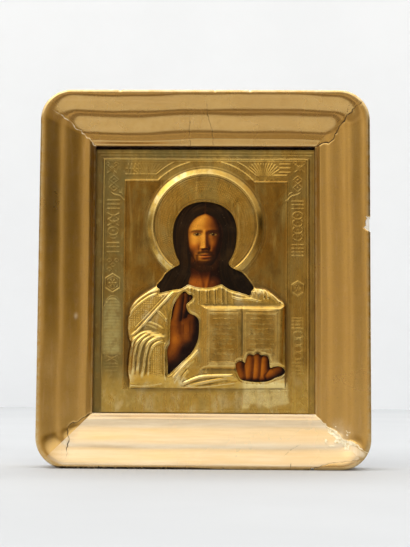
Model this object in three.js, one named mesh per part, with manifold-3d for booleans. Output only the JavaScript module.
// A framed icon: a painted wooden board under a stamped brass cover (an oklad, cut open over
// the painted head and hands), set in a deep frame of four mitred, gessoed and gilded rails and
// closed behind by a thin board. It stands upright on its lower rail.
//
// Millimetres. World frame: +X to the viewer's right, +Z up, the front faces -Y.
// Everything is drawn in a plan frame (x, y = height up the panel, z = towards the viewer),
// which one group turns upright.
import * as THREE from "three";
import { mergeVertices } from "three/addons/utils/BufferGeometryUtils.js";
import Module from "manifold-3d";

// ---- frame -------------------------------------------------------------------------------
const FRAME_W = 324.5; // outer width
const FRAME_H = 371.5; // outer height
const MOULD_W = 53; // width of the moulding on plan
const DEPTH = 54; // front bead to back
const CORNER_R = 30; // rounded outer corner
const MITRE_GAP = 0.22; // open joint left by each rail end
const CREST = DEPTH / 2; // front of the outer bead
const SIGHT_Z = 7; // front of the lip round the opening
const LIP_BACK = 1.6; // back of that lip
const REBATE = 4.4; // how far the rebate is cut back from the opening
const BEAD_R = 2.6; // rounding of the outer bead
const ROUND_FROM = 8; // inside this distance the mitres stay sharp
const SIGHT_A = FRAME_W / 2 - MOULD_W; // half width of the opening
const SIGHT_B = FRAME_H / 2 - MOULD_W; // half height of the opening
const MID = FRAME_H / 2; // height of the panel's middle

// the three rises of the moulding, from the opening outwards: [from, to, rise]
const RISES = [
  [0, 5.8, 4.2],
  [10, 32.2, 7.2],
  [31.2, 49.6, 7.4],
];
const FLAT_RISE = CREST - SIGHT_Z - RISES.reduce((s, r) => s + r[2], 0);

// ---- icon --------------------------------------------------------------------------------
const BOARD_W = 223;
const BOARD_H = 267; // 6 x 5 vershok
const BOARD_T = 22;
const BOARD_X = 0.8; // it lies a little to one side in its rebate
const GAP = 0.3; // clearance between touching pieces
const BOARD_FRONT = -0.4;
const BOARD_BOTTOM = MID - SIGHT_B - REBATE + GAP;
const BACK_T = 4;

// ---- oklad (brass cover) -----------------------------------------------------------------
const SHEET = 0.6; // sheet thickness
const GROUND = 0.5; // front of the flat ground
const BORDER = { l: -101, r: 102.8, b: 54.2, t: 306.4, w: 1.5, rise: 0.8 };
const INNER = { l: -80, r: 82, b: 76.3, t: 285, w: 1.2, rise: 0.5 };
const HALO = { x: 0.5, y: 239, out: 58.6, bead: 1.1, rim: 52.6, rise: 2.6, dish: 0.7 };
const HEAD = { x: 0.3, y: 232, rx: 31.8, up: 31.5, down: 48, waist: 24.6 };
const LOCK = { tipX: 49.2, tipY: 177.5, lowX: 45, lowY: 170.5 };
const COLLAR = { half: 17, y: 180.5, dip: 3.5 };
const ROBE = { rise: 2.7, bevel: 3.2 };
const BOOK = { l: -4, r: 80.5, b: 96, t: 160, chamfer: 4.8, rise: 2.1 };

const wasm = await Module();
wasm.setup();

const clamp = (t) => Math.min(1, Math.max(0, t));
const smooth = (t) => clamp(t) ** 2 * (3 - 2 * clamp(t));

function solid(geometry) {
  const g = geometry.index ? geometry.toNonIndexed() : geometry.clone();
  for (const name of Object.keys(g.attributes)) if (name !== "position") g.deleteAttribute(name);
  const m = mergeVertices(g, 1e-3);
  const tri = [];
  for (let i = 0; i < m.index.count; i += 3) {
    const [a, b, c] = [m.index.getX(i), m.index.getX(i + 1), m.index.getX(i + 2)];
    if (a !== b && b !== c && c !== a) tri.push(a, b, c);
  }
  return new wasm.Manifold(
    new wasm.Mesh({ numProp: 3, vertProperties: m.attributes.position.array, triVerts: new Uint32Array(tri) }),
  );
}

function geometryOf(manifold) {
  const m = manifold.getMesh();
  const v = new Float32Array(m.numVert * 3);
  for (let i = 0; i < m.numVert; i++) v.set(m.vertProperties.subarray(i * m.numProp, i * m.numProp + 3), i * 3);
  const g = new THREE.BufferGeometry();
  g.setAttribute("position", new THREE.BufferAttribute(v, 3));
  g.setIndex(new THREE.BufferAttribute(new Uint32Array(m.triVerts), 1));
  g.computeVertexNormals();
  return g;
}

// ---- the moulding's section ---------------------------------------------------------------
// height of the front face, towards the viewer, at a distance u out from the opening
function mouldHeight(u) {
  let z = SIGHT_Z + (FLAT_RISE * u) / (MOULD_W - BEAD_R);
  for (const [a, b, rise] of RISES) z += rise * smooth((u - a) / (b - a));
  return z;
}

// contour radius at the rounded corner: sharp mitre inside, full radius at the outer edge
const cornerRadius = (u) => {
  const r = CORNER_R * clamp((u - ROUND_FROM) / (MOULD_W - ROUND_FROM));
  return r < 0.6 ? 0 : r;
};

function section() {
  const points = [];
  const lip = 1.2;
  points.push([0, SIGHT_Z - lip], [0.35, SIGHT_Z - 0.3]);
  const last = MOULD_W - BEAD_R;
  for (let i = 0, n = 22; i <= n; i++) {
    const u = lip + ((last - lip) * i) / n;
    points.push([u, mouldHeight(u)]);
  }
  const top = mouldHeight(last);
  for (let i = 1; i <= 4; i++) {
    const a = (Math.PI / 2) * (i / 4);
    points.push([last + BEAD_R * Math.sin(a), top - BEAD_R * (1 - Math.cos(a))]);
  }
  points.push([MOULD_W, -CREST], [REBATE, -CREST], [REBATE, LIP_BACK], [0, LIP_BACK]);
  return points;
}

// one rail: the section swept along its side, round half of each outer corner, up to the mitres.
// half is half the opening's side; s runs along the rail and t away from the opening's centre.
function railGeometry(half, offset, place) {
  const profile = section();
  const ARC = 5;
  const stations = [];
  for (let i = 0; i <= ARC; i++) stations.push([-1, -Math.PI / 4 + (Math.PI / 4) * (i / ARC)]);
  for (let i = 0; i <= ARC; i++) stations.push([1, (Math.PI / 4) * (i / ARC)]);
  const at = ([side, angle], [u, z]) => {
    const r = cornerRadius(u);
    const s = side * (half - MITRE_GAP + u - r) + r * Math.sin(angle);
    return place(s, offset + u - r + r * Math.cos(angle), z);
  };
  const grid = stations.map((st) => profile.map((p) => at(st, p)));
  const position = [];
  const face = (a, b, c) => {
    if (a.distanceTo(b) > 1e-3 && b.distanceTo(c) > 1e-3 && c.distanceTo(a) > 1e-3)
      for (const p of [a, b, c]) position.push(p.x, p.y, p.z);
  };
  const n = profile.length;
  for (let i = 0; i + 1 < grid.length; i++)
    for (let j = 0; j < n; j++) {
      const [a, b] = [grid[i][j], grid[i][(j + 1) % n]];
      const [c, d] = [grid[i + 1][j], grid[i + 1][(j + 1) % n]];
      face(a, c, b);
      face(b, c, d);
    }
  const flat = profile.map(([u, z]) => new THREE.Vector2(u - cornerRadius(u) * (1 - Math.SQRT1_2), z));
  const clockwise = THREE.ShapeUtils.isClockWise(flat);
  for (const [a, b, c] of THREE.ShapeUtils.triangulateShape(flat, [])) {
    const [lo, hi] = [grid[0], grid[grid.length - 1]];
    const order = clockwise ? [a, b, c] : [a, c, b];
    face(lo[order[0]], lo[order[2]], lo[order[1]]);
    face(hi[order[0]], hi[order[1]], hi[order[2]]);
  }
  const g = new THREE.BufferGeometry();
  g.setAttribute("position", new THREE.Float32BufferAttribute(position, 3));
  let made = solid(g);
  if (made.volume() < 0) {
    const flipped = new Float32Array(position.length);
    for (let i = 0; i < position.length; i += 9) {
      flipped.set(position.slice(i, i + 3), i);
      flipped.set(position.slice(i + 6, i + 9), i + 3);
      flipped.set(position.slice(i + 3, i + 6), i + 6);
    }
    g.setAttribute("position", new THREE.BufferAttribute(flipped, 3));
    made = solid(g);
  }
  return geometryOf(made);
}

// ---- outlines on the oklad ----------------------------------------------------------------
function rect(l, r, b, t) {
  return new THREE.Shape([
    new THREE.Vector2(l, b),
    new THREE.Vector2(r, b),
    new THREE.Vector2(r, t),
    new THREE.Vector2(l, t),
  ]);
}

// the opening over the painted head, hair and neck: an egg-shaped crown drawn in to a waist,
// two locks that spread over the shoulders, and the round of the collar between them
function headShape() {
  const half = [];
  const low = -Math.acos(HEAD.waist / HEAD.rx);
  for (let i = 0, n = 14; i <= n; i++) {
    const a = Math.PI / 2 + ((low - Math.PI / 2) * i) / n;
    half.push([HEAD.rx * Math.cos(a), HEAD.y + Math.sin(a) * (a > 0 ? HEAD.up : HEAD.down)]);
  }
  const curve = (a, b, c, n) => {
    for (let i = 1; i <= n; i++) {
      const t = i / n;
      half.push([0, 1].map((k) => a[k] * (1 - t) ** 2 + 2 * b[k] * t * (1 - t) + c[k] * t * t));
    }
  };
  const waist = half[half.length - 1];
  curve(waist, [38, 197], [LOCK.tipX, LOCK.tipY], 6);
  half.push([LOCK.lowX, LOCK.lowY]);
  curve([LOCK.lowX, LOCK.lowY], [30, 173.5], [COLLAR.half + 3.5, COLLAR.y - 3.5], 5);
  half.push([COLLAR.half, COLLAR.y]);
  curve([COLLAR.half, COLLAR.y], [COLLAR.half * 0.53, COLLAR.y - COLLAR.dip], [0, COLLAR.y - COLLAR.dip], 4);
  const points = half.map(([x, y]) => new THREE.Vector2(HEAD.x + x, y));
  for (const [x, y] of half.slice(1, -1).reverse()) points.push(new THREE.Vector2(HEAD.x - x, y));
  return new THREE.Shape(points);
}

// a finger: the outline round two circles
function finger(x0, y0, r0, x1, y1, r1) {
  const along = Math.atan2(y1 - y0, x1 - x0);
  const lean = Math.acos((r0 - r1) / Math.hypot(x1 - x0, y1 - y0));
  const points = [];
  for (let i = 0, n = 7; i <= n; i++) {
    const a = along - lean + (2 * lean * i) / n;
    points.push(new THREE.Vector2(x1 + r1 * Math.cos(a), y1 + r1 * Math.sin(a)));
  }
  for (let i = 0, n = 7; i <= n; i++) {
    const a = along + lean + ((2 * Math.PI - 2 * lean) * i) / n;
    points.push(new THREE.Vector2(x0 + r0 * Math.cos(a), y0 + r0 * Math.sin(a)));
  }
  return new THREE.Shape(points);
}

function ellipse(x, y, rx, ry, n = 28) {
  const points = [];
  for (let i = 0; i < n; i++) {
    const a = (2 * Math.PI * i) / n;
    points.push(new THREE.Vector2(x + rx * Math.cos(a), y + ry * Math.sin(a)));
  }
  return new THREE.Shape(points);
}

// the raised hand: two fingers up, one bent, the palm, and a wrist cut off slantwise by the cuff
const blessingHand = () => [
  finger(-26.2, 145, 6.6, -21, 168.8, 4.7),
  finger(-22, 157, 4.2, -15.2, 167, 3.6),
  ellipse(-19.7, 132.5, 14.6, 19.2),
  new THREE.Shape([
    new THREE.Vector2(-36.2, 112),
    new THREE.Vector2(-35.4, 90.6),
    new THREE.Vector2(-9.5, 117),
    new THREE.Vector2(-14, 130),
    new THREE.Vector2(-33.6, 132),
  ]),
];

// the hand under the book: four finger ends in a row, the palm's edge, and the thumb
const FINGERS = [
  [36.2, 99.6, 5.2],
  [46, 106.4, 4.8],
  [53.3, 108, 4.7],
  [60.2, 105.4, 4.9],
];
const PALM_Y = 89.6;
const holdingHand = () => [
  ...FINGERS.map(([x, y, r]) => finger(x + (48 - x) * 0.12, PALM_Y, r, x, y, r * 0.98)),
  finger(41, PALM_Y + 0.4, 5.4, 62, PALM_Y + 0.6, 5.2),
  finger(60, 92, 5.6, 74.6, 95, 5.1),
];

function robeShape() {
  const left = [
    [-75, INNER.b + 0.1],
    [-73.4, 99],
    [-75, 113],
    [-72.6, 123],
    [-76.8, 139],
    [-73.5, 157],
    [-63, 171],
    [-48, 179.3],
    [-30, 183],
  ];
  const right = [
    [34, 183],
    [56, 178.8],
    [69, 173.5],
    [81, 160],
  ];
  const through = [...new THREE.SplineCurve(left.map((p) => new THREE.Vector2(...p))).getPoints(26),
    ...new THREE.SplineCurve(right.map((p) => new THREE.Vector2(...p))).getPoints(12),
    new THREE.Vector2(81, INNER.b + 0.1)];
  return new THREE.Shape(through.reverse());
}

// a shape raised from z0 to z1, its top edge bevelled; inset draws it in all round
function raised(shape, z0, z1, bevel = 0, inset = 0, steps = 2) {
  const g = new THREE.ExtrudeGeometry(shape, {
    depth: z1 - z0 - bevel,
    bevelEnabled: bevel > 0 || inset !== 0,
    bevelThickness: Math.max(bevel, 1e-3),
    bevelSize: Math.max(bevel, 1e-3),
    bevelOffset: -Math.max(bevel, 1e-3) - inset,
    bevelSegments: steps,
    curveSegments: 8,
  });
  g.translate(0, 0, z0);
  const made = solid(g);
  if (!g.parameters.options.bevelEnabled) return made;
  // the lower bevel comes off, so the sides run straight down to z0
  const off = new THREE.BoxGeometry(2000, 2000, 40);
  off.translate(0, 0, z0 - 20);
  return made.subtract(solid(off));
}

// a straight-sided cutter through the sheet
function cutter(shapes, grow = 0, z0 = -6, z1 = 22) {
  return shapes
    .map((s) => {
      const g = new THREE.ExtrudeGeometry(s, {
        depth: z1 - z0,
        bevelEnabled: grow > 0,
        bevelThickness: 0.01,
        bevelSize: grow,
        bevelSegments: 1,
        curveSegments: 8,
      });
      g.translate(0, 0, z0);
      return solid(g);
    })
    .reduce((a, b) => a.add(b));
}

// a fold: a half-round ridge along a curve of plan points, thinning to both ends
function fold(points, width, height, base) {
  const curve = new THREE.CatmullRomCurve3(points.map(([x, y]) => new THREE.Vector3(x, y, 0)));
  const n = 12;
  const ring = 6;
  const rows = [];
  for (let i = 0; i <= n; i++) {
    const p = curve.getPoint(i / n);
    const t = curve.getTangent(i / n);
    const k = 0.25 + 0.75 * Math.sin((Math.PI * (i + 0.6)) / (n + 1.2));
    const row = [];
    for (let j = 0; j <= ring; j++) {
      const a = (Math.PI * j) / ring;
      const w = (width / 2) * k * Math.cos(a);
      row.push(new THREE.Vector3(p.x - t.y * w, p.y + t.x * w, base + height * k * Math.sin(a)));
    }
    row.push(new THREE.Vector3(p.x + (t.y * width * k) / 2, p.y - (t.x * width * k) / 2, base - 0.5));
    row.push(new THREE.Vector3(p.x - (t.y * width * k) / 2, p.y + (t.x * width * k) / 2, base - 0.5));
    rows.push(row);
  }
  const m = rows[0].length;
  const position = [];
  const face = (...v) => v.forEach((p) => position.push(p.x, p.y, p.z));
  for (let i = 0; i < n; i++)
    for (let j = 0; j < m; j++) {
      const k = (j + 1) % m;
      face(rows[i][j], rows[i][k], rows[i + 1][j]);
      face(rows[i][k], rows[i + 1][k], rows[i + 1][j]);
    }
  for (let j = 1; j + 1 < m; j++) {
    face(rows[0][0], rows[0][j + 1], rows[0][j]);
    face(rows[n][0], rows[n][j], rows[n][j + 1]);
  }
  const g = new THREE.BufferGeometry();
  g.setAttribute("position", new THREE.Float32BufferAttribute(position, 3));
  const made = solid(g);
  if (made.volume() > 0) return made;
  for (let i = 0; i < position.length; i += 9)
    for (let k = 0; k < 3; k++) [position[i + 3 + k], position[i + 6 + k]] = [position[i + 6 + k], position[i + 3 + k]];
  g.setAttribute("position", new THREE.Float32BufferAttribute(position, 3));
  return solid(g);
}

function ridge(l, r, b, t, width, z0, z1) {
  const outer = rect(l - width / 2, r + width / 2, b - width / 2, t + width / 2);
  outer.holes.push(new THREE.Path(rect(l + width / 2, r - width / 2, b + width / 2, t - width / 2).getPoints().reverse()));
  const g = new THREE.ExtrudeGeometry(outer, { depth: z1 - z0, bevelEnabled: false });
  g.translate(0, 0, z0);
  return solid(g);
}

// the halo: an outer bead, a bevel up to the rim, and a shallow dished disc
function halo(lower, base) {
  const inset = lower ? SHEET : 0;
  const drop = lower ? SHEET : 0;
  const z = GROUND - drop;
  const profile = [
    [0, base],
    [HALO.out - HALO.bead * 2 - inset, base],
    ...(lower ? [] : [[HALO.out, base], [HALO.out, z], [HALO.out - HALO.bead * 0.6, z + 0.7], [HALO.out - HALO.bead * 1.6, z + 0.35]]),
    [HALO.rim + 1.2 - inset, z + HALO.rise - 0.25],
    [HALO.rim - inset, z + HALO.rise],
    [HALO.rim - 1.6 - inset, z + HALO.rise - 0.2],
    [HALO.rim - 5 - inset, z + HALO.rise - HALO.dish],
    [0, z + HALO.rise - HALO.dish + 0.5],
  ];
  const g = new THREE.LatheGeometry(profile.map((p) => new THREE.Vector2(...p)), 56);
  g.rotateX(Math.PI / 2); // the lathe's axis becomes +z, the profile's second number the height
  g.translate(HALO.x, HALO.y, 0);
  return solid(g);
}

// the relief's outer form, or with lower set the hollow behind it, one sheet's thickness below
function relief(lower) {
  const drop = lower ? SHEET : 0;
  const base = lower ? -2 : -0.1;
  const zRobe = GROUND + ROBE.rise - drop;
  let made = halo(lower, base);
  const robe = raised(robeShape(), base, zRobe, ROBE.bevel, lower ? SHEET : 0);
  made = made.add(robe);
  const bookZ = zRobe + BOOK.rise;
  const book = raised(rect(BOOK.l, BOOK.r, BOOK.b, BOOK.t), base, bookZ, BOOK.chamfer * 0.62, lower ? SHEET : 0, 1);
  made = made.add(book);
  if (lower) return made;
  const half = BOARD_W / 2;
  const sheet = raised(rect(BOARD_X - half, BOARD_X + half, BOARD_BOTTOM, BOARD_BOTTOM + BOARD_H), base, GROUND);
  made = made.add(sheet);
  made = made.add(ridge(BORDER.l, BORDER.r, BORDER.b, BORDER.t, BORDER.w, base, GROUND + BORDER.rise));
  made = made.add(ridge(INNER.l, INNER.r, INNER.b, INNER.t, INNER.w, base, GROUND + INNER.rise));
  // edge of the mantle, from the wrist's sleeve up to the neck
  made = made.add(fold([[-70, 131], [-58, 144.5], [-46, 157], [-33, 172]], 3.4, 1.6, zRobe));
  // folds that gather at the raised wrist and fall round the sleeve
  for (let i = 0; i < 4; i++) {
    const k = i / 3;
    made = made.add(
      fold([[-38, 127 - 4 * k], [-52 + 3 * k, 129 - 7 * k], [-64 + 6 * k, 123 - 8 * k], [-70 + 9 * k, 108 - 5 * k], [-69 + 11 * k, 92]], 3.6 - 0.4 * k, 1.8, zRobe),
    );
  }
  // cuff of the sleeve, and pleats below the collar
  made = made.add(fold([[-40, 122], [-38.8, 108], [-38.6, 88]], 3, 1.1, zRobe));
  for (let i = 0; i < 6; i++) {
    const x = -12 + 5.6 * i;
    made = made.add(fold([[x, 175], [x + 0.3, 169], [x + 0.4, 162]], 2, 0.8, zRobe));
  }
  // hem folds below the book
  made = made.add(fold([[-26, 80], [-14, 85], [0, 89.4], [26, 89.6]], 3.2, 1.6, zRobe));
  made = made.add(fold([[-18, 79], [4, 81], [30, 86]], 2.6, 1.0, zRobe));
  // raised panels of the two pages
  for (const [l, r] of [[6, 34], [42, 71]])
    made = made.add(ridge(l, r, BOOK.b + 9, BOOK.t - 10, 1.2, base, bookZ + 0.5));
  // ornament of the border: lozenges in both upright bands
  for (const x of [(BORDER.l + INNER.l) / 2, (BORDER.r + INNER.r) / 2])
    for (const y of [288, 245, 181, 122])
      made = made.add(raised(new THREE.Shape(ellipse(x, y, 6.2, 8.5, 4).getPoints()), base, GROUND + 0.7, 0.5, 0, 1));
  return made;
}

function okladGeometry() {
  const windows = () => [headShape(), ...blessingHand(), ...holdingHand()];
  const hollow = relief(true).subtract(cutter(windows(), SHEET + 0.2, -6, 22));
  return geometryOf(relief(false).subtract(hollow).subtract(cutter(windows())));
}

// ---- assembly ------------------------------------------------------------------------------
const gilt = new THREE.MeshStandardMaterial({ color: 0xb98a48, metalness: 0.85, roughness: 0.34 });
const brass = new THREE.MeshStandardMaterial({ color: 0x9c7a3c, metalness: 1, roughness: 0.32 });
const paint = new THREE.MeshStandardMaterial({ color: 0x4a2c16, metalness: 0, roughness: 0.45 });
const timber = new THREE.MeshStandardMaterial({ color: 0x6b4a2c, metalness: 0, roughness: 0.75 });

const icon = new THREE.Group();
const panel = new THREE.Group();
panel.rotation.x = Math.PI / 2; // stand the plan upright, front to -Y
icon.add(panel);

function piece(name, geometry, material) {
  const mesh = new THREE.Mesh(geometry, material);
  mesh.name = name;
  panel.add(mesh);
}

const P = (x, y, z) => new THREE.Vector3(x, y, z);
piece("frame_rail_top", railGeometry(SIGHT_A, SIGHT_B, (s, t, z) => P(s, MID + t, z)), gilt);
piece("frame_rail_bottom", railGeometry(SIGHT_A, SIGHT_B, (s, t, z) => P(s, MID - t, z)), gilt);
piece("frame_rail_left", railGeometry(SIGHT_B, SIGHT_A, (s, t, z) => P(-t, MID + s, z)), gilt);
piece("frame_rail_right", railGeometry(SIGHT_B, SIGHT_A, (s, t, z) => P(t, MID + s, z)), gilt);

// the painted board, its arrises eased
const ease = 0.8;
const board = new THREE.ExtrudeGeometry(
  rect(BOARD_X - BOARD_W / 2 + ease, BOARD_X + BOARD_W / 2 - ease, BOARD_BOTTOM + ease, BOARD_BOTTOM + BOARD_H - ease),
  { depth: BOARD_T - 2 * ease, bevelEnabled: true, bevelThickness: ease, bevelSize: ease, bevelSegments: 1 },
);
board.translate(0, 0, BOARD_FRONT - BOARD_T + ease);
piece("icon_board", geometryOf(solid(board)), paint);

piece("oklad", okladGeometry(), brass);

// the thin board that closes the case behind
const inA = SIGHT_A + REBATE - GAP;
const inB = SIGHT_B + REBATE - GAP;
const back = new THREE.BoxGeometry(2 * inA, 2 * inB, BACK_T);
back.translate(0, MID, BOARD_FRONT - BOARD_T - GAP - BACK_T / 2);
piece("back_board", geometryOf(solid(back)), timber);

export default icon;
